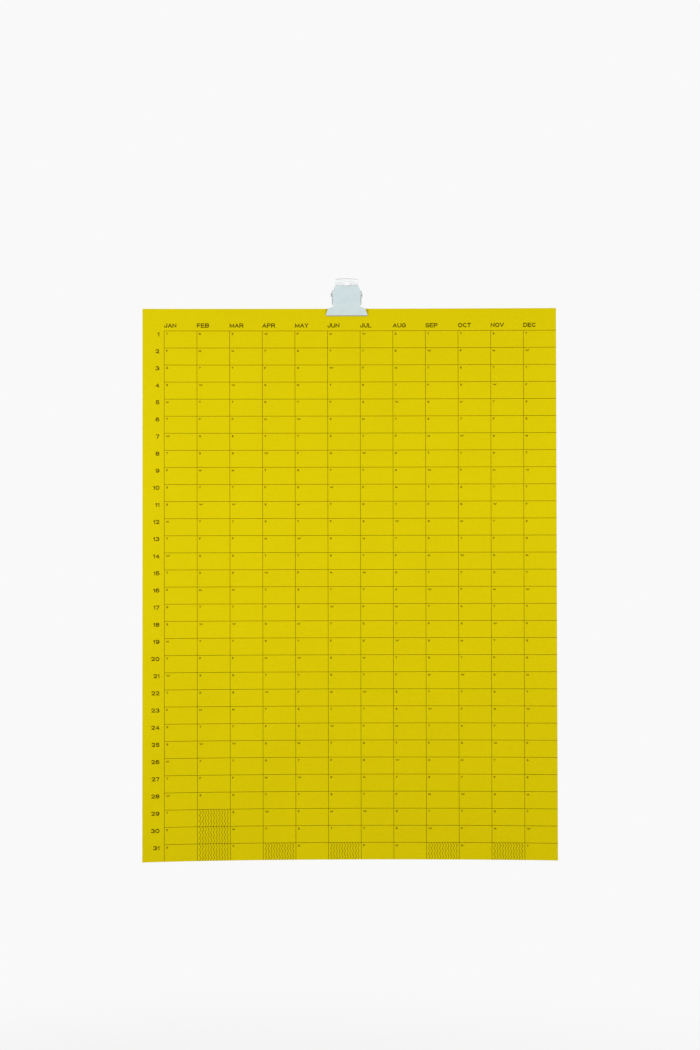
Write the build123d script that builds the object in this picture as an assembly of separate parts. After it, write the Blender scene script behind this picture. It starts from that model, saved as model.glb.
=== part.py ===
from build123d import *
import os
from math import acos, asin, atan2, cos, hypot, pi, sin, tan

# Wall calendar: one large printed year sheet held in a sprung hinge clip that hangs on a nail.
# Millimetres. +X is to the viewer's right, +Y goes into the wall, +Z is up.
# The origin is the centre of the clip's hanging hole, on the plane of the wall.

# Sheet of heavy paper
sheet_width = 457.2
sheet_height = 609.6
sheet_thickness = 0.3
sheet_shift = 2.9  # the clip holds the sheet a little left of the sheet's own middle

# How far the sheet's side edges curl towards the room, from the top edge to the bottom edge
left_curl_top = 4.5
left_curl_middle = 11.0
left_curl_bottom = 20.0
right_curl_top = 3.5
right_curl_middle = 5.0
right_curl_bottom = 12.5

# Printed year grid: a column for each month and a row for each day, running off two edges
month_count = 12
day_count = 31
grid_left_margin = 23.9
grid_top_margin = 24.5
line_width = 0.4
ink_thickness = 0.2
ink_clearance = 0.03

# Zigzag lines that fill the days a month does not have
zigzag_pitch = 3.0
zigzag_swing = 1.7
zigzag_half_period = 3.1
zigzag_line_width = 0.45
zigzag_gap = 0.05
absent_days = {2: (29, 30, 31), 4: (31,), 6: (31,), 9: (31,), 11: (31,)}

# Steel plates of the clip, as widths seen from the front
plate_thickness = 0.8
jaw_width = 47.4
shoulder_width = 40.8
neck_width = 29.0
body_width = 31.0
lever_tip_width = 25.2
tab_width = 25.6
outline_round = 1.2

# Heights and depths of the plates, from the pin and from the clip's middle plane
lip_drop = 23.5
lip_height = 1.2
shoulder_drop = 15.2
neck_drop = 13.2
throat_drop = 11.5
body_drop = 9.6
web_depth = 5.6
lip_bend_radius = 2.0
throat_bend_radius = 6.0
jaw_clearance = 0.1

# Front lever, flared towards the room
lever_bend_rise = 2.2
lever_rise = 9.6
lever_depth = 8.6
lever_bend_radius = 5.0

# Hanging tab of the rear plate, flat on the wall
stand_off = 9.0
pin_drop = 13.5
tab_bend_rise = 3.5
tab_shoulder_rise = 8.6
tab_neck_rise = 10.4
tab_rise = 19.3
tab_crown = 1.1
tab_bend_radius = 3.0
hole_radius = 2.25

# Ears and pin
ear_clearance = 0.2
ear_top_drop = 0.2
ear_drop = 8.6
front_ear_radius = 4.0
rear_ear_radius = 4.4
pin_radius = 1.5
pin_clearance = 0.05
head_radius = 2.1
head_height = 0.9
head_round = 0.5
ear_corner_round = 0.7

# Torsion spring
wire_radius = 0.65
coil_clearance = 0.2
turn_count = 8
turn_gap = 0.15
spring_leg_length = 9.0
leg_clearance = 0.1

# Reach of the cutting blocks beyond what they cut
overrun = 5.0

# Places that follow from the sizes above
sheet_top = -pin_drop - shoulder_drop
sheet_left = sheet_shift - sheet_width / 2
cell_width = (sheet_width - grid_left_margin) / month_count
cell_height = (sheet_height - grid_top_margin) / day_count
lip_depth = sheet_thickness / 2 + jaw_clearance
tab_depth = stand_off - plate_thickness
rear_body_width = body_width + 2 * (ear_clearance + plate_thickness)


# Lifts of the sheet's left and right edges at the top, middle and bottom control rows
edge_lifts = (
    (left_curl_top, right_curl_top),
    (left_curl_middle, right_curl_middle),
    (left_curl_bottom, right_curl_bottom),
)


def lifts_at(share_down):
    """Lifts of the left and right edges at a height on the sheet: a quadratic Bezier from top to bottom."""
    weights = ((1 - share_down) ** 2, 2 * share_down * (1 - share_down), share_down**2)
    return [sum(weight * lift for weight, lift in zip(weights, side)) for side in zip(*edge_lifts)]


def lift_across(left, right, share_across):
    """Lift at a place across the sheet. Each edge's lift fades as a fourth power."""
    return left * (1 - share_across) ** 4 + right * share_across**4


def lift_at(x, z):
    return lift_across(*lifts_at((sheet_top - z) / sheet_height), (x - sheet_left) / sheet_width)


# The base plane is set so that the sheet's middle lies in the clip's middle plane at the lips
front_plane = -stand_off - sheet_thickness / 2 + lift_at(0, -pin_drop - lip_drop)


def sheet_front():
    """The sheet's printed face as one Bezier patch, with only its side columns lifted."""
    points = []
    for row, (left, right) in enumerate(edge_lifts):
        z = sheet_top - sheet_height * row / (len(edge_lifts) - 1)
        points.append([Vector(x, y, z) for x, y in row_controls(left, right, 0)])
    return Face.make_bezier_surface(points)


def row_controls(left, right, proud):
    """Control points in X and Y of a level line on the sheet, standing proud of its front."""
    lifts = (left, 0, 0, 0, right)
    across = [sheet_left + sheet_width * column / (len(lifts) - 1) for column in range(len(lifts))]
    return [(x, front_plane - lift - proud) for x, lift in zip(across, lifts)]


def column_controls(x, proud):
    """Control points in Y and Z of an upright line on the sheet, standing proud of its front."""
    share = (x - sheet_left) / sheet_width
    rows = [lift_across(left, right, share) for left, right in edge_lifts]
    down = [sheet_top - sheet_height * row / (len(rows) - 1) for row in range(len(rows))]
    return [(front_plane - lift - proud, z) for lift, z in zip(rows, down)]


def make_sheet():
    return Solid.extrude(sheet_front(), Vector(0, sheet_thickness, 0))


def column_left(month):
    return sheet_left + grid_left_margin + (month - 1) * cell_width


def row_top(day):
    return sheet_top - grid_top_margin - (day - 1) * cell_height


def ink_band(controls_at, layer):
    """Section of a printed line, between two curves that follow the sheet. Layer 1 lies on layer 0."""
    near = ink_clearance + layer * (ink_thickness + ink_clearance)
    back, front = Bezier(*controls_at(near)), Bezier(*controls_at(near + ink_thickness))
    ends = [Line(back @ share, front @ share).edge() for share in (0, 1)]
    return make_face([back.edge(), front.edge(), *ends])


def grid_window():
    """The block that holds the printed grid, which runs off the sheet at the right and the bottom."""
    left, right = column_left(1) - line_width / 2, sheet_left + sheet_width
    top, bottom = row_top(1) + line_width / 2, sheet_top - sheet_height
    depth = 2 * (left_curl_bottom + right_curl_bottom + overrun)
    place = Pos((left + right) / 2, front_plane, (top + bottom) / 2)
    return place * Box(right - left, depth, top - bottom)


def make_month_lines():
    window = grid_window()
    lines = []
    for month in range(1, month_count + 1):
        x = column_left(month)
        band = ink_band(lambda proud: column_controls(x, proud), 1)
        lines.append(Pos(x, 0, 0) * extrude(Plane.YZ * band, amount=line_width / 2, both=True) & window)
    return Compound(lines)


def make_day_lines():
    window = grid_window()
    lines = []
    for day in range(1, day_count + 1):
        z = row_top(day)
        lifts = lifts_at((sheet_top - z) / sheet_height)
        band = ink_band(lambda proud: row_controls(*lifts, proud), 0)
        lines.append(Pos(0, 0, z) * extrude(band, amount=line_width / 2, both=True) & window)
    return Compound(lines)


def zigzag_outline(height):
    """One zigzag line of a hatched day, about its own middle."""
    steps = max(1, round(height / zigzag_half_period))
    knees = [
        ((step % 2 - 1 / 2) * zigzag_swing, height * (1 / 2 - step / steps)) for step in range(steps + 1)
    ]
    right = [(x + zigzag_line_width / 2, z) for x, z in knees]
    left = [(x - zigzag_line_width / 2, z) for x, z in reversed(knees)]
    return make_face(Polyline(*right, *left, close=True))


def make_hatching():
    """Zigzag lines over every day that its month does not have, each flat on the sheet where it is."""
    inset = line_width / 2 + zigzag_gap
    height = cell_height - 2 * inset
    zigzag = extrude(Pos(0, 0, ink_clearance) * zigzag_outline(height), amount=ink_thickness)
    spaces = max(2, round(cell_width / zigzag_pitch))
    zigzags = []
    for month, days in absent_days.items():
        for day in days:
            z = row_top(day) - cell_height / 2
            for n in range(1, spaces):
                x = column_left(month) + cell_width * n / spaces
                rise = lift_at(x - zigzag_swing, z) - lift_at(x + zigzag_swing, z)
                slope_across = rise / (2 * zigzag_swing)
                slope_up = (lift_at(x, z - height / 2) - lift_at(x, z + height / 2)) / height
                place = Plane(
                    origin=(x, front_plane - lift_at(x, z), z),
                    x_dir=(1, slope_across, 0),
                    z_dir=(slope_across, -1, slope_up),
                )
                zigzags.append(place * zigzag)
    return Compound(zigzags)


def at_clip(depth, height):
    """Y and Z of a point, from its depth in front of the clip's middle plane and its height over the pin."""
    return -stand_off - depth, height - pin_drop


def bent_strip(corners, radii, side):
    """A bent plate wider than the jaw, from the corners of its inner face in the side view."""
    inner = FilletPolyline(*corners, radius=radii)
    section = offset(inner, amount=plate_thickness, side=side, closed=True)
    return extrude(Plane.YZ * make_face(section.edges()), amount=jaw_width / 2 + overrun, both=True)


def plate_outline(body, top):
    """A plate seen from the front, from half widths and heights over the pin. Its top may be an arc."""
    lower = [
        (jaw_width / 2, -lip_drop),
        (shoulder_width / 2, -shoulder_drop),
        (neck_width / 2, -neck_drop),
        (neck_width / 2, -throat_drop),
        (body / 2, -body_drop),
    ]
    right = [(x, height - pin_drop) for x, height in lower + top]
    left = [(-x, z) for x, z in reversed(right)]
    return right, left


def ears(radius, inner_x, middle_side):
    """Two ears on the pin, bent from the edges of a plate's web. middle_side is 1 in front, -1 behind."""
    web_y, top_z = at_clip(middle_side * (web_depth + plate_thickness), -ear_top_drop)
    bottom_z = at_clip(0, -ear_drop)[1]
    eye = Pos(*at_clip(0, 0)) * Circle(radius)
    flap = make_hull([*eye.edges(), Line((web_y, bottom_z), (web_y, top_z)).edge()])
    flap -= Pos(*at_clip(0, 0)) * Circle(pin_radius + pin_clearance)
    right = Pos(inner_x, 0, 0) * extrude(Plane.YZ * flap, amount=plate_thickness)
    return [right, mirror(right, about=Plane.YZ)]


def ear_corner_cuts(width, middle_side):
    """What rounds the two outer corners where a plate's ears are bent from its web."""
    web_y, top_z = at_clip(middle_side * (web_depth + plate_thickness), -ear_top_drop)
    bottom_z = at_clip(0, -ear_drop)[1]
    inward = middle_side * ear_corner_round
    square = Rectangle(ear_corner_round, ear_corner_round)
    corner = Pos((width - ear_corner_round) / 2, web_y + inward / 2) * square
    corner -= Pos(width / 2 - ear_corner_round, web_y + inward) * Circle(ear_corner_round)
    right = extrude(Pos(0, 0, bottom_z) * corner, amount=top_z - bottom_z)
    return [right, mirror(right, about=Plane.YZ)]


def make_front_jaw():
    corners = [
        at_clip(lip_depth, -lip_drop),
        at_clip(lip_depth, lip_height - lip_drop),
        at_clip(web_depth, -throat_drop),
        at_clip(web_depth, lever_bend_rise),
        at_clip(lever_depth, lever_rise),
    ]
    radii = [lip_bend_radius, throat_bend_radius, lever_bend_radius]
    strip = bent_strip(corners, radii, Side.LEFT)
    upper = [(body_width / 2, lever_bend_rise), (lever_tip_width / 2, lever_rise)]
    right, left = plate_outline(body_width, upper)
    outline = make_face(Polyline(*right, *left, close=True))
    outline = fillet(outline.vertices(), outline_round)
    plate = strip & extrude(Plane.XZ * outline, amount=stand_off + lever_depth + overrun, both=True)
    plate += ears(front_ear_radius, body_width / 2 - plate_thickness, 1)
    return plate - ear_corner_cuts(body_width, 1)


def make_rear_jaw():
    corners = [
        at_clip(-lip_depth, -lip_drop),
        at_clip(-lip_depth, lip_height - lip_drop),
        at_clip(-web_depth, -throat_drop),
        at_clip(-web_depth, tab_bend_rise),
        at_clip(-tab_depth, tab_shoulder_rise),
        at_clip(-tab_depth, tab_rise),
    ]
    radii = [lip_bend_radius, throat_bend_radius, lever_bend_radius, tab_bend_radius]
    strip = bent_strip(corners, radii, Side.RIGHT)
    upper = [
        (rear_body_width / 2, tab_bend_rise),
        (tab_width / 2, tab_neck_rise),
        (tab_width / 2, tab_rise - tab_crown),
    ]
    right, left = plate_outline(rear_body_width, upper)
    crown = ThreePointArc(right[-1], (0, tab_rise - pin_drop), left[0])
    outline = make_face([*Polyline(*right).edges(), crown.edge(), *Polyline(*left, right[0]).edges()])
    outline = fillet(outline.vertices(), outline_round)
    outline -= Circle(hole_radius)
    plate = strip & extrude(Plane.XZ * outline, amount=stand_off + lever_depth + overrun, both=True)
    plate += ears(rear_ear_radius, body_width / 2 + ear_clearance, -1)
    return plate - ear_corner_cuts(rear_body_width, -1)


def make_pin():
    """Rivet pin through the four ears, with a head at each end."""
    end_x = body_width / 2 + ear_clearance + plate_thickness
    place = Pos(0, *at_clip(0, 0)) * Rot(0, 90, 0)
    shank = Cylinder(pin_radius, 2 * end_x)
    head = Cylinder(head_radius, head_height)
    head = fillet(head.edges().group_by(Axis.Z)[-1], head_round)
    top = Pos(0, 0, end_x + head_height / 2) * head
    return place * (shank + top + mirror(top, about=Plane.XY))


def leg_lean(bend_rise, bend_depth, tip_rise, tip_depth, coil_radius):
    """Lean of a spring leg from the vertical so that it rests on a lever, at the leg's tip or at the bend."""
    lever_lean = atan2(tip_depth - bend_depth, tip_rise - bend_rise)
    face_distance = bend_depth * cos(lever_lean) - bend_rise * sin(lever_lean)
    standoff = wire_radius + leg_clearance
    reach = hypot(spring_leg_length, coil_radius)
    tip_lean = lever_lean + asin((face_distance - standoff) / reach)
    lean_at_tip = tip_lean - atan2(coil_radius, spring_leg_length)
    centre_depth = bend_depth + lever_bend_radius
    centre_rise = bend_rise - lever_bend_radius * tan(lever_lean / 2)
    gap = coil_radius + standoff + lever_bend_radius
    lean_at_bend = acos(gap / hypot(centre_depth, centre_rise)) - atan2(centre_rise, centre_depth)
    return min(lean_at_tip, lean_at_bend)


def make_spring():
    """Torsion spring round the pin. Its two legs leave the coil in line with the wire."""
    coil_radius = pin_radius + coil_clearance + wire_radius
    pitch = 2 * wire_radius + turn_gap
    front_lean = leg_lean(lever_bend_rise, web_depth, lever_rise, lever_depth, coil_radius)
    rear_lean = leg_lean(tab_bend_rise, web_depth, tab_shoulder_rise, tab_depth, coil_radius)
    turns = turn_count - 1 / 2 - (front_lean + rear_lean) / (2 * pi)
    coil = Edge.make_helix(pitch, turns * pitch, coil_radius)
    front_leg = Line(coil @ 0 - coil % 0 * spring_leg_length, coil @ 0)
    rear_leg = Line(coil @ 1, coil @ 1 + coil % 1 * spring_leg_length)
    path = Wire([front_leg.edge(), coil, rear_leg.edge()])
    section = Plane(origin=path @ 0, z_dir=path % 0) * Circle(wire_radius)
    coil_start = Plane(
        origin=(-turns * pitch / 2, *at_clip(0, 0)),
        x_dir=(0, -cos(front_lean), -sin(front_lean)),
        z_dir=(1, 0, 0),
    )
    return coil_start * sweep(section, path=path)


makers = {
    "calendar_sheet": make_sheet,
    "printed_day_lines": make_day_lines,
    "printed_month_lines": make_month_lines,
    "printed_hatching": make_hatching,
    "front_jaw": make_front_jaw,
    "rear_jaw": make_rear_jaw,
    "pivot_pin": make_pin,
    "torsion_spring": make_spring,
}

os.makedirs("parts", exist_ok=True)
for node, make in makers.items():
    export_step(make(), f"parts/{node}.step")
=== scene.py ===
import math

import bmesh
import bpy
from mathutils import Matrix, Vector


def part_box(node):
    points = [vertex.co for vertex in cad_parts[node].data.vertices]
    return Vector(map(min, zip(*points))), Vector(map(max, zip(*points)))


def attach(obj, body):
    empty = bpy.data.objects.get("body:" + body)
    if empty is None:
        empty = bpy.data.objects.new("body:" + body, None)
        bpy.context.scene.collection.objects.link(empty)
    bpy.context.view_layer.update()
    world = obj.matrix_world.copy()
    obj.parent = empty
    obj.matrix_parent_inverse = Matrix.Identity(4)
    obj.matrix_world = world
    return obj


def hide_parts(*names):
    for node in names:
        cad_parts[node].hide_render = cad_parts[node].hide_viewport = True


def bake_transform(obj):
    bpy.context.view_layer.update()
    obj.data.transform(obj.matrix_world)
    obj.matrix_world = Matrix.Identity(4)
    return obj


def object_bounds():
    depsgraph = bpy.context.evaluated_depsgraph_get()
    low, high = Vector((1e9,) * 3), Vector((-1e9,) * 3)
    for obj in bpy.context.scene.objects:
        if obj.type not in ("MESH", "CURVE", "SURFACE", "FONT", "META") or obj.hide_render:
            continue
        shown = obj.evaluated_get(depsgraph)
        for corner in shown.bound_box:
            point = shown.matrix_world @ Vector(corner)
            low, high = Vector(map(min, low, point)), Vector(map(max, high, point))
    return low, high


# Wall calendar: looks of the printed sheet and the clip around the fixed frame. Metres.
# +X is to the right of someone who faces the print, +Y goes into the wall and +Z is up.
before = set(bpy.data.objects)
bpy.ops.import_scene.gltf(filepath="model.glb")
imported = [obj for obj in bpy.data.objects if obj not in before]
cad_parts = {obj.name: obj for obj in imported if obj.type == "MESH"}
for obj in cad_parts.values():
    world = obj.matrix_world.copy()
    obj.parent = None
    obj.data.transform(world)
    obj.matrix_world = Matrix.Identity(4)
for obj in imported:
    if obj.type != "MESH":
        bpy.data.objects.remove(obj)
cad_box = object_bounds()

MM = 0.001
BODY = "hung_calendar"

# Sheet, as in the frame: its sides curl towards the room, by these lifts at the top, middle and bottom
SHEET_LOW, SHEET_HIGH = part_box("calendar_sheet")
SHEET_THICKNESS = 0.3 * MM
LEFT_LIFTS = (4.5 * MM, 11.0 * MM, 20.0 * MM)
RIGHT_LIFTS = (3.5 * MM, 5.0 * MM, 12.5 * MM)
SHEET_LEFT = SHEET_LOW.x
SHEET_TOP = SHEET_HIGH.z
SHEET_WIDTH = SHEET_HIGH.x - SHEET_LOW.x
SHEET_HEIGHT = SHEET_HIGH.z - SHEET_LOW.z
FRONT_PLANE = SHEET_LOW.y + max(LEFT_LIFTS)
SHEET_COLUMNS = 96
SHEET_ROWS = 128

# Year grid
MONTHS = ("JAN", "FEB", "MAR", "APR", "MAY", "JUN", "JUL", "AUG", "SEP", "OCT", "NOV", "DEC")
WEEKDAYS = "MTWTFSS"
FIRST_WEEKDAY = 3
DAY_COUNT = 31
ABSENT_DAYS = {2: (29, 30, 31), 4: (31,), 6: (31,), 9: (31,), 11: (31,)}
GRID_LEFT_MARGIN = 23.9 * MM
GRID_TOP_MARGIN = 24.5 * MM
CELL_WIDTH = (SHEET_WIDTH - GRID_LEFT_MARGIN) / len(MONTHS)
CELL_HEIGHT = (SHEET_HEIGHT - GRID_TOP_MARGIN) / DAY_COUNT

# Ink
LINE_WIDTH = 0.4 * MM
INK_THICKNESS = 0.02 * MM
INK_CLEARANCE = 0.012 * MM
ZIGZAG_PITCH = 3.0 * MM
ZIGZAG_SWING = 1.7 * MM
ZIGZAG_HALF_PERIOD = 3.1 * MM
ZIGZAG_LINE_WIDTH = 0.45 * MM
ZIGZAG_GAP = 0.05 * MM

# Lettering: cap heights, stroke widths and places in the cells
MONTH_HEIGHT = 4.8 * MM
MONTH_WEIGHT = 0.9 * MM
MONTH_RISE = 3.6 * MM
NUMBER_HEIGHT = 4.6 * MM
NUMBER_WEIGHT = 0.91 * MM
NUMBER_DROP = 1.3 * MM
NUMBER_GAP = 5.3 * MM
LETTER_HEIGHT = 2.3 * MM
LETTER_WEIGHT = 0.48 * MM
LETTER_DROP = 2.1 * MM
LETTER_INDENT = 2.2 * MM
TURN_STEPS_LARGE = 24
TURN_STEPS_SMALL = 14

# Torsion spring, as in the frame: a coil round the pin and two legs that rest on the plates
PIN_CENTRE = Vector((0, -9 * MM, -13.5 * MM))
WIRE_RADIUS = 0.65 * MM
COIL_RADIUS = 2.35 * MM
COIL_PITCH = 1.45 * MM
TURN_COUNT = 8
LEG_LENGTH = 9 * MM
LEG_CLEARANCE = 0.1 * MM
WEB_DEPTH = 5.6 * MM
BEND_RADIUS = 5 * MM
FRONT_LEVER = (2.2 * MM, 9.6 * MM, 8.6 * MM)
REAR_LEVER = (3.5 * MM, 8.6 * MM, 8.2 * MM)
COIL_STEPS = 28
LEG_STEP_SHARES = (0.25, 0.5, 0.75, 1)
WIRE_SIDES = 12
TRIMMED_END_SHARE = 0.86

# Plates and pin: width of a broken edge, least angle of an edge, and reach that joins the faces
EDGE_SOFTNESS = 0.16 * MM
EDGE_STEPS = 2
EDGE_ANGLE = math.radians(40)
JOIN_REACH = 0.002 * MM

# Painted shade: a darker band along the lip's lower edge, standing in for the contact shadow under the
# jaw, and a darker line along the bowed top edge of the hanging tab, standing in for that edge in shade
LIP_PAINTED_SHADE = 1.3 * MM
TAB_PAINTED_SHADE = 0.6 * MM
TAB_BOW = 1.1 * MM / (12.8 * MM) ** 2
PAINTED_SHADE_RAGGED = 0.2 * MM

# Shares of a layer's colour in the paper's, and the gloss of the enamel's clear top
CLOUDY_SHARE = 0.4
FLECK_SHARE = 0.25
COAT_ROUGHNESS = 0.3


def lift_at(x, z):
    """How far the sheet stands forward of its base plane at a place on it."""
    across = (x - SHEET_LEFT) / SHEET_WIDTH
    down = (SHEET_TOP - z) / SHEET_HEIGHT
    left, right = (
        top * (1 - down) ** 2 + 2 * middle * down * (1 - down) + bottom * down**2
        for top, middle, bottom in (LEFT_LIFTS, RIGHT_LIFTS)
    )
    return left * (1 - across) ** 4 + right * across**4


def on_sheet(x, z, proud=0.0):
    """A point on the printed face, or standing proud of it."""
    return Vector((x, FRONT_PLANE - lift_at(x, z) - proud, z))


def column_left(month):
    return SHEET_LEFT + GRID_LEFT_MARGIN + (month - 1) * CELL_WIDTH


def row_top(day):
    return SHEET_TOP - GRID_TOP_MARGIN - (day - 1) * CELL_HEIGHT


# Materials
def srgb(red, green, blue):
    """A colour as the renderer wants it, from the 0 to 255 values that a picture shows."""
    shares = [value / 255 for value in (red, green, blue)]
    linear = [share / 12.92 if share <= 0.04045 else ((share + 0.055) / 1.055) ** 2.4 for share in shares]
    return (*linear, 1.0)


def new_material(name, roughness, specular, metallic=0.0):
    material = bpy.data.materials.new(name)
    material.use_nodes = True
    shader = material.node_tree.nodes["Principled BSDF"]
    shader.inputs["Roughness"].default_value = roughness
    shader.inputs["Metallic"].default_value = metallic
    shader.inputs["Specular IOR Level"].default_value = specular
    return material, material.node_tree, shader


def feed(tree, value, socket):
    """Links an input to another node's output, or sets it to a plain value."""
    if isinstance(value, bpy.types.NodeSocket):
        tree.links.new(value, socket)
    else:
        socket.default_value = value


def reckoned(tree, operation, *values):
    """The result of a sum, product or the like of numbers and other nodes' outputs."""
    node = tree.nodes.new("ShaderNodeMath")
    node.operation = operation
    for value, socket in zip(values, node.inputs):
        feed(tree, value, socket)
    return node.outputs[0]


def noise(tree, scale, detail, stretch=(1, 1, 1), roughness=0.5):
    """Noise in the object's own space, which is the frame in metres. Its scale is in waves to a metre."""
    nodes, links = tree.nodes, tree.links
    place = nodes.new("ShaderNodeTexCoord")
    mapping = nodes.new("ShaderNodeMapping")
    mapping.inputs["Scale"].default_value = stretch
    links.new(place.outputs["Object"], mapping.inputs["Vector"])
    texture = nodes.new("ShaderNodeTexNoise")
    texture.inputs["Scale"].default_value = scale
    texture.inputs["Detail"].default_value = detail
    texture.inputs["Roughness"].default_value = roughness
    links.new(mapping.outputs["Vector"], texture.inputs["Vector"])
    return texture.outputs["Fac"]


def two_tone(tree, factor, dark, light, stretch=(0.3, 0.7)):
    """A ramp between two colours, over a stretch of a factor."""
    ramp = tree.nodes.new("ShaderNodeValToRGB")
    for element, position, colour in zip(ramp.color_ramp.elements, stretch, (dark, light)):
        element.position = position
        element.color = colour
    tree.links.new(factor, ramp.inputs["Fac"])
    return ramp.outputs["Color"]


# Places of the colour sockets on a mix node, whose names it uses more than once
MIX_FIRST = 6
MIX_SECOND = 7
MIX_RESULT = 2


def mixed(tree, factor, first, second):
    mix = tree.nodes.new("ShaderNodeMix")
    mix.data_type = "RGBA"
    feed(tree, factor, mix.inputs["Factor"])
    feed(tree, first, mix.inputs[MIX_FIRST])
    feed(tree, second, mix.inputs[MIX_SECOND])
    return mix.outputs[MIX_RESULT]


def add_bump(tree, shader, height, strength, distance):
    bump = tree.nodes.new("ShaderNodeBump")
    bump.inputs["Strength"].default_value = strength
    bump.inputs["Distance"].default_value = distance
    tree.links.new(height, bump.inputs["Height"])
    tree.links.new(bump.outputs["Normal"], shader.inputs["Normal"])


def paper_material():
    """Matt dyed cover stock: cloudy formation, a fine dry grain and short pale and dark fibres."""
    material, tree, shader = new_material("yellow_paper", roughness=0.8, specular=0.05)
    cloud = noise(tree, scale=14, detail=2)
    formation = noise(tree, scale=420, detail=4, roughness=0.6)
    grain = noise(tree, scale=2600, detail=3, roughness=0.65)
    base = two_tone(tree, cloud, srgb(216, 197, 0), srgb(221, 202, 0))
    cloudy = two_tone(tree, formation, srgb(211, 192, 0), srgb(225, 206, 1))
    flecks = two_tone(tree, grain, srgb(203, 183, 0), srgb(230, 212, 4))
    tinted = mixed(tree, CLOUDY_SHARE, base, cloudy)
    feed(tree, mixed(tree, FLECK_SHARE, tinted, flecks), shader.inputs["Base Color"])
    add_bump(tree, shader, grain, strength=0.3, distance=0.04 * MM)
    return material


def ink_material():
    """Dark olive ink, slightly uneven where it sinks into the paper."""
    material, tree, shader = new_material("olive_ink", roughness=0.6, specular=0.02)
    sink = noise(tree, scale=2600, detail=3, roughness=0.6)
    tone = two_tone(tree, sink, srgb(52, 34, 0), srgb(74, 53, 0), stretch=(0.35, 0.7))
    feed(tree, tone, shader.inputs["Base Color"])
    add_bump(tree, shader, sink, strength=0.2, distance=0.02 * MM)
    return material


def worn_share(tree, bow, inner, outer):
    """Share of painted shade: 0 at the inner height, 1 at the outer one, with a ragged rim."""
    place = tree.nodes.new("ShaderNodeTexCoord")
    parts = tree.nodes.new("ShaderNodeSeparateXYZ")
    tree.links.new(place.outputs["Object"], parts.inputs["Vector"])
    squared = reckoned(tree, "MULTIPLY", parts.outputs["X"], parts.outputs["X"])
    height = reckoned(tree, "MULTIPLY_ADD", squared, bow, parts.outputs["Z"])
    rim = noise(tree, scale=900, detail=3)
    ragged = reckoned(tree, "MULTIPLY_ADD", rim, PAINTED_SHADE_RAGGED, height)
    share = tree.nodes.new("ShaderNodeMapRange")
    share.inputs["From Min"].default_value = inner + PAINTED_SHADE_RAGGED / 2
    share.inputs["From Max"].default_value = outer + PAINTED_SHADE_RAGGED / 2
    feed(tree, ragged, share.inputs["Value"])
    return share.outputs["Result"]


def enamel_material(name, dark, light, painted_shade, coat, bow, inner, outer):
    """Pale baked enamel: faint orange peel, a slightly uneven tone, and a darker colour along one edge as
    painted shade.
    """
    material, tree, shader = new_material(name, roughness=0.5, specular=0.3)
    cloud = noise(tree, scale=120, detail=3)
    peel = noise(tree, scale=1300, detail=2)
    tone = two_tone(tree, cloud, dark, light)
    share = worn_share(tree, bow, inner, outer)
    feed(tree, mixed(tree, share, tone, painted_shade), shader.inputs["Base Color"])
    add_bump(tree, shader, peel, strength=0.12, distance=0.02 * MM)
    shader.inputs["Coat Weight"].default_value = coat
    shader.inputs["Coat Roughness"].default_value = COAT_ROUGHNESS
    return material


def steel_material(name, dark, light, roughness, scale, stretch=(1, 1, 1)):
    """Bare steel, with fine marks along the way it was drawn or turned."""
    material, tree, shader = new_material(name, roughness, specular=0.5, metallic=1.0)
    marks = noise(tree, scale, detail=4, stretch=stretch)
    tone = two_tone(tree, marks, dark, light, stretch=(0.25, 0.75))
    feed(tree, tone, shader.inputs["Base Color"])
    add_bump(tree, shader, marks, strength=0.15, distance=0.01 * MM)
    return material


# Meshes
def new_piece(name, points, faces, material, body=BODY, smooth=False):
    mesh = bpy.data.meshes.new(name)
    mesh.from_pydata([tuple(point) for point in points], [], faces)
    shell = bmesh.new()
    shell.from_mesh(mesh)
    bmesh.ops.recalc_face_normals(shell, faces=shell.faces)
    shell.to_mesh(mesh)
    shell.free()
    mesh.materials.append(material)
    if smooth:
        mesh.shade_smooth()
    piece = bpy.data.objects.new(name, mesh)
    bpy.context.scene.collection.objects.link(piece)
    if body:
        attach(piece, body)
    return piece


def make_sheet(material):
    """The sheet as one closed shell: a front and a back that follow the curl, joined at the edges."""
    points, faces = [], []
    across, down = SHEET_COLUMNS + 1, SHEET_ROWS + 1
    for back in (0, 1):
        for row in range(down):
            z = SHEET_TOP - SHEET_HEIGHT * row / SHEET_ROWS
            for column in range(across):
                x = SHEET_LEFT + SHEET_WIDTH * column / SHEET_COLUMNS
                points.append(on_sheet(x, z, -back * SHEET_THICKNESS))

    def index(back, row, column):
        return (back * down + row) * across + column

    for row in range(SHEET_ROWS):
        for column in range(SHEET_COLUMNS):
            ring = ((row, column), (row + 1, column), (row + 1, column + 1), (row, column + 1))
            faces.append([index(0, *place) for place in ring])
            faces.append([index(1, *place) for place in reversed(ring)])
    for row in range(SHEET_ROWS):
        for column, turn in ((0, 1), (SHEET_COLUMNS, -1)):
            rim = ((0, row, column), (1, row, column), (1, row + 1, column), (0, row + 1, column))
            faces.append([index(*place) for place in rim][::turn])
    for column in range(SHEET_COLUMNS):
        for row, turn in ((0, -1), (SHEET_ROWS, 1)):
            rim = ((0, row, column), (1, row, column), (1, row, column + 1), (0, row, column + 1))
            faces.append([index(*place) for place in rim][::turn])
    sheet = new_piece("paper_sheet", points, faces, material)
    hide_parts("calendar_sheet")
    return sheet


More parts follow.
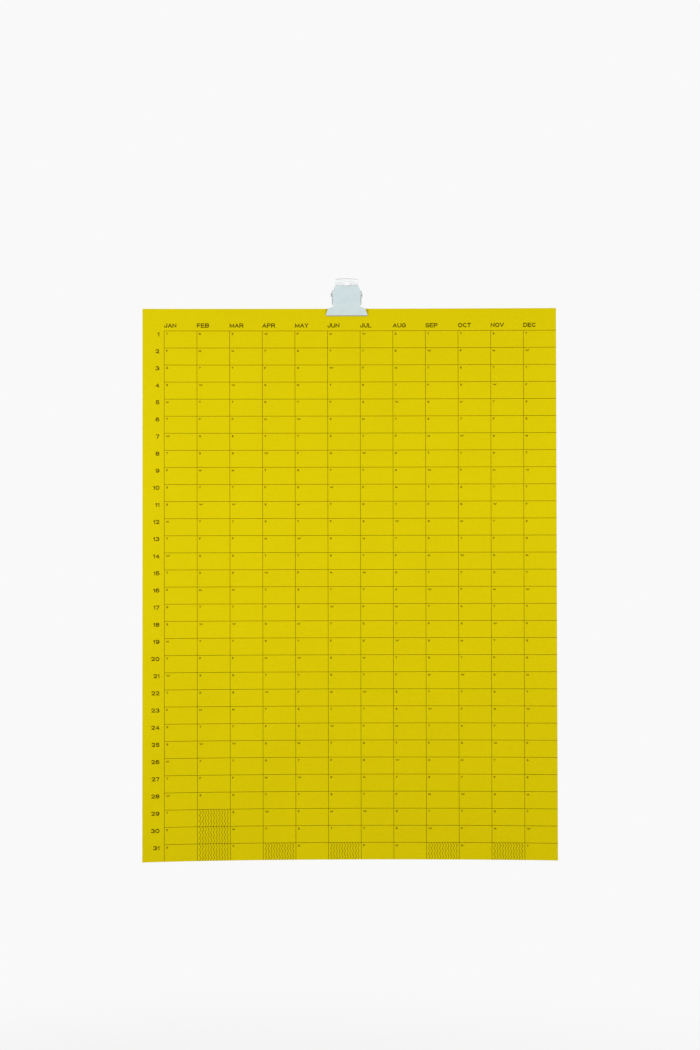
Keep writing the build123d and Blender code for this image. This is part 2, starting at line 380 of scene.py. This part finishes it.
def add_band(points, faces, left, right):
    """A thin closed band of ink between two lists of (x, z) places on the sheet."""
    first = len(points)
    for (left_x, left_z), (right_x, right_z) in zip(left, right):
        for proud in (INK_CLEARANCE, INK_CLEARANCE + INK_THICKNESS):
            points.append(on_sheet(left_x, left_z, proud))
            points.append(on_sheet(right_x, right_z, proud))
    for step in range(len(left) - 1):
        near = first + 4 * step
        for a, b in ((0, 1), (1, 3), (3, 2), (2, 0)):
            faces.append([near + a, near + b, near + b + 4, near + a + 4])
    last = first + 4 * (len(left) - 1)
    faces.append([first, first + 2, first + 3, first + 1])
    faces.append([last, last + 1, last + 3, last + 2])


def make_grid_lines(material):
    points, faces = [], []
    half = LINE_WIDTH / 2
    right_edge, bottom_edge = SHEET_LEFT + SHEET_WIDTH, SHEET_TOP - SHEET_HEIGHT
    left_end, top_end = column_left(1) - half, row_top(1) + half
    for day in range(1, DAY_COUNT + 1):
        z = row_top(day)
        step = (right_edge - left_end) / SHEET_COLUMNS
        places = [left_end + step * n for n in range(SHEET_COLUMNS + 1)]
        add_band(points, faces, [(x, z + half) for x in places], [(x, z - half) for x in places])
    for month in range(1, len(MONTHS) + 1):
        x = column_left(month)
        for day in range(1, DAY_COUNT + 1):
            top = row_top(day) - half
            bottom = max(row_top(day + 1) + half, bottom_edge)
            levels = (top, (top + bottom) / 2, bottom)
            add_band(points, faces, [(x - half, z) for z in levels], [(x + half, z) for z in levels])
    lines = new_piece("printed_lines", points, faces, material)
    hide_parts("printed_day_lines", "printed_month_lines")
    return lines


def make_hatching(material):
    points, faces = [], []
    spaces = round(CELL_WIDTH / ZIGZAG_PITCH)
    inset = LINE_WIDTH / 2 + ZIGZAG_GAP
    height = CELL_HEIGHT - 2 * inset
    steps = round(height / ZIGZAG_HALF_PERIOD)
    for month, days in ABSENT_DAYS.items():
        for day in days:
            for n in range(1, spaces):
                middle = column_left(month) + CELL_WIDTH * n / spaces
                top = row_top(day) - inset
                knees = [
                    (middle + (step % 2 - 0.5) * ZIGZAG_SWING, top - height * step / steps)
                    for step in range(steps + 1)
                ]
                left = [(x - ZIGZAG_LINE_WIDTH / 2, z) for x, z in knees]
                right = [(x + ZIGZAG_LINE_WIDTH / 2, z) for x, z in knees]
                add_band(points, faces, left, right)
    hatching = new_piece("zigzag_hatching", points, faces, material)
    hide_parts("printed_hatching")
    return hatching


# Letter skeletons: width as a share of the cap height, then strokes in a box from 0 to 1 each way.
# A point is (across, up). An arc is its centre's (across, up), its radius each way and its two end angles.
LETTERS = {
    "A": (0.96, [[(0, 0), (0.5, 1), (1, 0)], [(0.2, 0.34), (0.8, 0.34)]]),
    "B": (
        0.92,
        [
            [(0, 0), (0, 1), (0.6, 1), (0.6, 0.76, 0.34, 0.24, 90, -90), (0, 0.52)],
            [(0.6, 0.52), (0.64, 0.26, 0.36, 0.26, 90, -90), (0, 0)],
        ],
    ),
    "C": (0.92, [[(0.5, 0.5, 0.5, 0.5, 38, 322)]]),
    "D": (0.92, [[(0, 0), (0, 1), (0.48, 1), (0.48, 0.5, 0.52, 0.5, 90, -90), (0, 0)]]),
    "E": (0.84, [[(1, 1), (0, 1), (0, 0), (1, 0)], [(0, 0.52), (0.92, 0.52)]]),
    "F": (0.8, [[(1, 1), (0, 1), (0, 0)], [(0, 0.48), (0.88, 0.48)]]),
    "G": (0.94, [[(0.5, 0.5, 0.5, 0.5, 38, 335), (1, 0.46), (0.58, 0.46)]]),
    "J": (0.72, [[(1, 1), (0.5, 0.32, 0.5, 0.32, 0, -180), (0, 0.38)]]),
    "L": (0.7, [[(0, 1), (0, 0), (1, 0)]]),
    "M": (1.08, [[(0, 0), (0, 1), (0.5, 0.1), (1, 1), (1, 0)]]),
    "N": (0.9, [[(0, 0), (0, 1), (1, 0), (1, 1)]]),
    "O": (1.0, [[(0.5, 0.5, 0.5, 0.5, 90, -270)]]),
    "P": (0.86, [[(0, 0), (0, 1), (0.6, 1), (0.6, 0.72, 0.4, 0.28, 90, -90), (0, 0.44)]]),
    "R": (
        0.94,
        [
            [(0, 0), (0, 1), (0.6, 1), (0.6, 0.73, 0.38, 0.27, 90, -90), (0, 0.46)],
            [(0.55, 0.46), (1, 0)],
        ],
    ),
    "S": (0.88, [[(0.5, 0.76, 0.45, 0.24, 25, 265), (0.5, 0.26, 0.5, 0.26, 85, -160)]]),
    "T": (0.84, [[(0, 1), (1, 1)], [(0.5, 1), (0.5, 0)]]),
    "U": (0.92, [[(0, 1), (0.5, 0.38, 0.5, 0.38, 180, 360), (1, 1)]]),
    "V": (0.94, [[(0, 1), (0.5, 0), (1, 1)]]),
    "W": (1.7, [[(0, 1), (0.25, 0), (0.5, 0.92), (0.75, 0), (1, 1)]]),
    "Y": (0.84, [[(0, 1), (0.5, 0.44), (1, 1)], [(0.5, 0.44), (0.5, 0)]]),
    "0": (0.97, [[(0.5, 0.5, 0.5, 0.5, 90, -270)]]),
    "1": (0.44, [[(0, 0.74), (0.45, 0.8), (1, 1), (1, 0)]]),
    "2": (0.92, [[(0.5, 0.7, 0.46, 0.3, 165, -35), (0, 0), (1, 0)]]),
    "3": (0.94, [[(0.48, 0.76, 0.42, 0.24, 155, -85), (0.48, 0.26, 0.52, 0.26, 85, -160)]]),
    "4": (0.94, [[(0.74, 0), (0.74, 1), (0, 0.26), (1, 0.26)]]),
    "5": (0.88, [[(0.94, 1), (0.14, 1), (0.04, 0.46), (0.5, 0.32, 0.5, 0.32, 130, -155)]]),
    "6": (0.94, [[(0.52, 0.56, 0.5, 0.44, 50, 180), (0.5, 0.31, 0.48, 0.31, 180, 540)]]),
    "7": (0.86, [[(0, 1), (1, 1), (0.36, 0)]]),
    "8": (0.94, [[(0.5, 0.76, 0.43, 0.24, -90, 270)], [(0.5, 0.26, 0.5, 0.26, 90, -270)]]),
    "9": (0.94, [[(0.48, 0.44, 0.5, 0.44, 230, 360), (0.5, 0.69, 0.48, 0.31, 0, 360)]]),
}
LETTER_GAP_SHARE = 0.11
LEAST_STEP_SHARE = 0.001
LARGEST_MITRE_SHARE = 1.35
LEAST_MITRE_COSINE = 0.05


def stroke_points(stroke, turn_steps):
    """The places of a stroke, with each arc divided in even turns."""
    places = []
    for part in stroke:
        if len(part) == 2:
            places.append(Vector(part))
            continue
        across, up, wide, tall, start, stop = part
        steps = max(2, round(abs(stop - start) / 360 * turn_steps))
        for step in range(steps + 1):
            angle = math.radians(start + (stop - start) * step / steps)
            places.append(Vector((across + wide * math.cos(angle), up + tall * math.sin(angle))))
    steps = [(place - before).length for before, place in zip(places, places[1:])]
    return places[:1] + [place for place, step in zip(places[1:], steps) if step > LEAST_STEP_SHARE]


def stroke_sides(places, half):
    """The left and right side of a stroke of even width, with mitred corners and square ends."""
    ways = [(after - before).normalized() for before, after in zip(places, places[1:])]
    lengths = [(after - before).length for before, after in zip(places, places[1:])]
    left, right = [], []
    for n, place in enumerate(places):
        before, after = ways[max(n - 1, 0)], ways[min(n, len(ways) - 1)]
        if n in (0, len(places) - 1):
            place = place + before * (half if n else -half)
        normal = Vector((-before.y, before.x))
        mitre = (normal + Vector((-after.y, after.x))).normalized()
        reach = half / max(mitre.dot(normal), LEAST_MITRE_COSINE)
        outer = min(reach, half * LARGEST_MITRE_SHARE)
        inner = min(reach, max(half, min(lengths[max(n - 1, 0)], lengths[min(n, len(ways) - 1)])))
        turns_left = before.x * after.y - before.y * after.x > 0
        left.append(place + mitre * (inner if turns_left else outer))
        right.append(place - mitre * (outer if turns_left else inner))
    return left, right


def text_width(text, height):
    shares = [LETTERS[letter][0] for letter in text]
    return height * (sum(shares) + LETTER_GAP_SHARE * (len(text) - 1))


def add_text(points, faces, text, left, base, height, weight, turn_steps):
    """Lays wide letters of even stroke on the sheet, from a left end and a baseline."""
    half = weight / 2
    for letter in text:
        share, strokes = LETTERS[letter]
        width = share * height
        for stroke in strokes:
            places = [
                Vector((half + place.x * (width - weight), half + place.y * (height - weight)))
                for place in stroke_points(stroke, turn_steps)
            ]
            sides = stroke_sides(places, half)
            add_band(points, faces, *[[(left + p.x, base + p.y) for p in side] for side in sides])
        left += width + LETTER_GAP_SHARE * height


def make_lettering(material):
    """Month names over the columns, day numbers beside the rows and a weekday letter in each day."""
    points, faces = [], []
    for month, name in enumerate(MONTHS, 1):
        base = row_top(1) + MONTH_RISE
        left = column_left(month)
        add_text(points, faces, name, left, base, MONTH_HEIGHT, MONTH_WEIGHT, TURN_STEPS_LARGE)
    new_piece("month_names", points, faces, material)
    points, faces = [], []
    for day in range(1, DAY_COUNT + 1):
        left = column_left(1) - NUMBER_GAP - text_width(str(day), NUMBER_HEIGHT)
        base = row_top(day) - NUMBER_DROP - NUMBER_HEIGHT
        add_text(points, faces, str(day), left, base, NUMBER_HEIGHT, NUMBER_WEIGHT, TURN_STEPS_LARGE)
    new_piece("day_numbers", points, faces, material)
    points, faces = [], []
    weekday = FIRST_WEEKDAY
    for month in range(1, len(MONTHS) + 1):
        for day in range(1, DAY_COUNT + 1 - len(ABSENT_DAYS.get(month, ()))):
            left = column_left(month) + LETTER_INDENT
            base = row_top(day) - LETTER_DROP - LETTER_HEIGHT
            letter = WEEKDAYS[weekday]
            add_text(points, faces, letter, left, base, LETTER_HEIGHT, LETTER_WEIGHT, TURN_STEPS_SMALL)
            weekday = (weekday + 1) % len(WEEKDAYS)
    new_piece("weekday_letters", points, faces, material)


def leg_lean(lever):
    """Lean of a spring leg from the vertical, so that it rests on a lever at its tip or at the bend."""
    bend_rise, tip_rise, tip_depth = lever
    lever_lean = math.atan2(tip_depth - WEB_DEPTH, tip_rise - bend_rise)
    face_distance = WEB_DEPTH * math.cos(lever_lean) - bend_rise * math.sin(lever_lean)
    standoff = WIRE_RADIUS + LEG_CLEARANCE
    tip_lean = lever_lean + math.asin((face_distance - standoff) / math.hypot(LEG_LENGTH, COIL_RADIUS))
    lean_at_tip = tip_lean - math.atan2(COIL_RADIUS, LEG_LENGTH)
    centre_depth = WEB_DEPTH + BEND_RADIUS
    centre_rise = bend_rise - BEND_RADIUS * math.tan(lever_lean / 2)
    gap = COIL_RADIUS + standoff + BEND_RADIUS
    full_lean = math.acos(gap / math.hypot(centre_depth, centre_rise))
    lean_at_bend = full_lean - math.atan2(centre_rise, centre_depth)
    return min(lean_at_tip, lean_at_bend)


def spring_line():
    """The middle of the wire: front leg, coil and rear leg."""
    front_lean, rear_lean = leg_lean(FRONT_LEVER), leg_lean(REAR_LEVER)
    turns = TURN_COUNT - 1 / 2 - (front_lean + rear_lean) / math.tau
    first = Vector((0, -math.cos(front_lean), -math.sin(front_lean)))
    second = Vector((0, math.sin(front_lean), -math.cos(front_lean)))
    steps = round(turns * COIL_STEPS)
    coil, ways = [], []
    for step in range(steps + 1):
        angle = math.tau * turns * step / steps
        along = Vector((COIL_PITCH * (angle / math.tau - turns / 2), 0, 0))
        outward = math.cos(angle) * first + math.sin(angle) * second
        coil.append(PIN_CENTRE + along + COIL_RADIUS * outward)
        way = COIL_RADIUS * (math.cos(angle) * second - math.sin(angle) * first)
        ways.append((way + Vector((COIL_PITCH / math.tau, 0, 0))).normalized())
    front_leg = [coil[0] - ways[0] * LEG_LENGTH * share for share in reversed(LEG_STEP_SHARES)]
    rear_leg = [coil[-1] + ways[-1] * LEG_LENGTH * share for share in LEG_STEP_SHARES]
    return front_leg + coil + rear_leg


def make_spring(material):
    """The wire as one smooth tube with trimmed ends."""
    line = spring_line()
    last = len(line) - 1
    ways = [(line[min(n + 1, last)] - line[max(n - 1, 0)]).normalized() for n in range(len(line))]
    points, faces = [], []
    side = Vector((1, 0, 0)).cross(ways[0]).normalized()
    for n, (place, way) in enumerate(zip(line, ways)):
        side = (side - way * side.dot(way)).normalized()
        other = way.cross(side)
        trimmed = WIRE_RADIUS * (TRIMMED_END_SHARE if n in (0, last) else 1)
        for k in range(WIRE_SIDES):
            angle = math.tau * k / WIRE_SIDES
            points.append(place + trimmed * (math.cos(angle) * side + math.sin(angle) * other))
    for n in range(last):
        for k in range(WIRE_SIDES):
            a, b = n * WIRE_SIDES + k, n * WIRE_SIDES + (k + 1) % WIRE_SIDES
            faces.append([a, b, b + WIRE_SIDES, a + WIRE_SIDES])
    faces.append(list(range(WIRE_SIDES))[::-1])
    faces.append(list(range(len(points) - WIRE_SIDES, len(points))))
    spring = new_piece("wire_spring", points, faces, material, body=None, smooth=True)
    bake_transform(spring)
    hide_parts("torsion_spring")


def soften_edges(piece, width):
    """Joins the faces of a CAD solid and breaks its sharp edges, as tumbling and paint do."""
    weld = piece.modifiers.new("weld", "WELD")
    weld.merge_threshold = JOIN_REACH
    bevel = piece.modifiers.new("bevel", "BEVEL")
    bevel.width = width
    bevel.segments = EDGE_STEPS
    bevel.limit_method = "ANGLE"
    bevel.angle_limit = EDGE_ANGLE
    bevel.use_clamp_overlap = True
    bevel.harden_normals = False


paper = paper_material()
ink = ink_material()
lip_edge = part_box("front_jaw")[0].z
tab_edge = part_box("rear_jaw")[1].z
# Front enamel: the darker colour along the lip's lower edge is painted shade, standing in for the contact
# shadow under the jaw
front_enamel = enamel_material(
    "front_enamel",
    dark=srgb(201, 216, 219),
    light=srgb(207, 221, 224),
    painted_shade=srgb(140, 138, 118),
    coat=0.1,
    bow=0,
    inner=lip_edge + LIP_PAINTED_SHADE,
    outer=lip_edge + LIP_PAINTED_SHADE / 3,
)
# Rear enamel: written much paler than the front plate's enamel as painted light, standing in for the
# brightly lit hanging tab
rear_enamel_painted_light = enamel_material(
    "rear_enamel_painted_light",
    dark=srgb(249, 251, 251),
    light=srgb(252, 253, 253),
    # The darker colour along the tab's top edge is painted shade, standing in for that edge in shade
    painted_shade=srgb(168, 168, 168),
    coat=0.8,
    bow=TAB_BOW,
    inner=tab_edge - TAB_PAINTED_SHADE,
    outer=tab_edge - TAB_PAINTED_SHADE / 2,
)
zinc = steel_material(
    "zinc_steel",
    dark=srgb(104, 106, 106),
    light=srgb(136, 138, 138),
    roughness=0.35,
    scale=1800,
)
wire = steel_material(
    "spring_steel",
    dark=srgb(128, 130, 134),
    light=srgb(158, 160, 164),
    roughness=0.3,
    scale=3000,
    stretch=(1, 0.4, 0.4),
)

make_sheet(paper)
make_grid_lines(ink)
make_hatching(ink)
make_lettering(ink)
make_spring(wire)

for node, material, width in (
    ("front_jaw", front_enamel, EDGE_SOFTNESS),
    ("rear_jaw", rear_enamel_painted_light, EDGE_SOFTNESS),
    ("pivot_pin", zinc, EDGE_SOFTNESS / 2),
):
    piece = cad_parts[node]
    piece.data.materials.clear()
    piece.data.materials.append(material)
    soften_edges(piece, width)


# Camera, from the middle of the sheet's front
CAMERA_DISTANCE = 2.3
CAMERA_OVER_SHEET = 65.3 * MM
CAMERA_ASIDE = 0.27 * MM
CAMERA_ROLL = math.radians(0.125)
LENS = 71.2
SENSOR_WIDTH = 36

# Stage and light: the floor's height under the sheet, its size, and how far and how much it shows shade
BACKGROUND = srgb(249, 249, 249)
FLOOR_COLOUR = srgb(240, 240, 240)
FLOOR_ROUGHNESS = 0.9
FLOOR_DROP = 0.4
FLOOR_HALF = 6.0
SHADE_REACH = 1.3
SHADE_SHARE = 0.4
WORLD_LIGHT = 0.285

floor_mesh = bpy.data.meshes.new("floor")
floor_z = cad_box[0].z - FLOOR_DROP
corners = [(x * FLOOR_HALF, y * FLOOR_HALF, floor_z) for x, y in ((-1, -1), (1, -1), (1, 1), (-1, 1))]
floor_mesh.from_pydata(corners, [], [(0, 1, 2, 3)])
floor = bpy.data.objects.new("floor", floor_mesh)
bpy.context.scene.collection.objects.link(floor)


def seen_or_mirrored(tree):
    """1 for what the camera, a gloss or a clear part sees, else 0."""
    path = tree.nodes.new("ShaderNodeLightPath").outputs
    seen = reckoned(tree, "MAXIMUM", path["Is Camera Ray"], path["Is Glossy Ray"])
    return reckoned(tree, "MAXIMUM", seen, path["Is Transmission Ray"])


def mix_shaders(tree, factor, first, second):
    mix = tree.nodes.new("ShaderNodeMixShader")
    tree.links.new(factor, mix.inputs["Fac"])
    tree.links.new(first, mix.inputs[1])
    tree.links.new(second, mix.inputs[2])
    return mix.outputs[0]


# The floor takes the object's shadow under it and fades into the pale background further out
floor_material = bpy.data.materials.new("pale_floor")
floor_material.use_nodes = True
floor_tree = floor_material.node_tree
floor_shader = floor_tree.nodes["Principled BSDF"]
floor_shader.inputs["Base Color"].default_value = FLOOR_COLOUR
floor_shader.inputs["Roughness"].default_value = FLOOR_ROUGHNESS
glow = floor_tree.nodes.new("ShaderNodeEmission")
glow.inputs["Color"].default_value = BACKGROUND
floor_place = floor_tree.nodes.new("ShaderNodeTexCoord")
from_middle = floor_tree.nodes.new("ShaderNodeVectorMath")
from_middle.operation = "DISTANCE"
from_middle.inputs[1].default_value = (0, 0, floor_z)
floor_tree.links.new(floor_place.outputs["Object"], from_middle.inputs[0])
fade = floor_tree.nodes.new("ShaderNodeMapRange")
fade.interpolation_type = "SMOOTHSTEP"
fade.inputs["From Min"].default_value = 0
fade.inputs["From Max"].default_value = SHADE_REACH
fade.inputs["To Min"].default_value = 1 - SHADE_SHARE
fade.inputs["To Max"].default_value = 1
floor_tree.links.new(from_middle.outputs["Value"], fade.inputs["Value"])
glow_share = reckoned(floor_tree, "MULTIPLY", seen_or_mirrored(floor_tree), fade.outputs["Result"])
floor_look = mix_shaders(floor_tree, glow_share, floor_shader.outputs[0], glow.outputs[0])
floor_tree.links.new(floor_look, floor_tree.nodes["Material Output"].inputs["Surface"])
floor_mesh.materials.append(floor_material)

world = bpy.data.worlds.new("studio")
bpy.context.scene.world = world
world.use_nodes = True
world_tree = world.node_tree
lit = world_tree.nodes["Background"]
lit.inputs["Color"].default_value = (1, 1, 1, 1)
lit.inputs["Strength"].default_value = WORLD_LIGHT
shown = world_tree.nodes.new("ShaderNodeBackground")
shown.inputs["Color"].default_value = BACKGROUND
world_look = mix_shaders(world_tree, seen_or_mirrored(world_tree), lit.outputs[0], shown.outputs[0])
world_tree.links.new(world_look, world_tree.nodes["World Output"].inputs["Surface"])


def add_softbox(name, place, size, power):
    """A round lamp that faces the middle of the sheet."""
    light = bpy.data.lights.new(name, "AREA")
    light.shape = "DISK"
    light.size = size
    light.energy = power
    lamp = bpy.data.objects.new(name, light)
    lamp.location = place
    lamp.rotation_mode = "QUATERNION"
    lamp.rotation_quaternion = (sheet_middle - Vector(place)).to_track_quat("-Z", "Y")
    bpy.context.scene.collection.objects.link(lamp)
    lamp.visible_camera = False


sheet_middle = (SHEET_LOW + SHEET_HIGH) / 2
add_softbox("key", place=(-0.66, -0.8, -0.12), size=0.55, power=5.35)
add_softbox("fill", place=(0.52, -0.8, -0.1), size=0.55, power=3.75)
add_softbox("back", place=(0.9, 1.7, 0.5), size=1.4, power=24)

camera_data = bpy.data.cameras.new("camera")
camera_data.lens = LENS
camera_data.sensor_width = SENSOR_WIDTH
camera = bpy.data.objects.new("camera", camera_data)
camera.location = (
    sheet_middle.x + CAMERA_ASIDE,
    FRONT_PLANE - CAMERA_DISTANCE,
    sheet_middle.z + CAMERA_OVER_SHEET,
)
camera.rotation_mode = "QUATERNION"
level = Matrix.Rotation(math.radians(90), 3, "X")
camera.rotation_quaternion = (Matrix.Rotation(CAMERA_ROLL, 3, "Y") @ level).to_quaternion()
bpy.context.scene.collection.objects.link(camera)
bpy.context.scene.camera = camera

bpy.context.scene.view_settings.view_transform = "Standard"
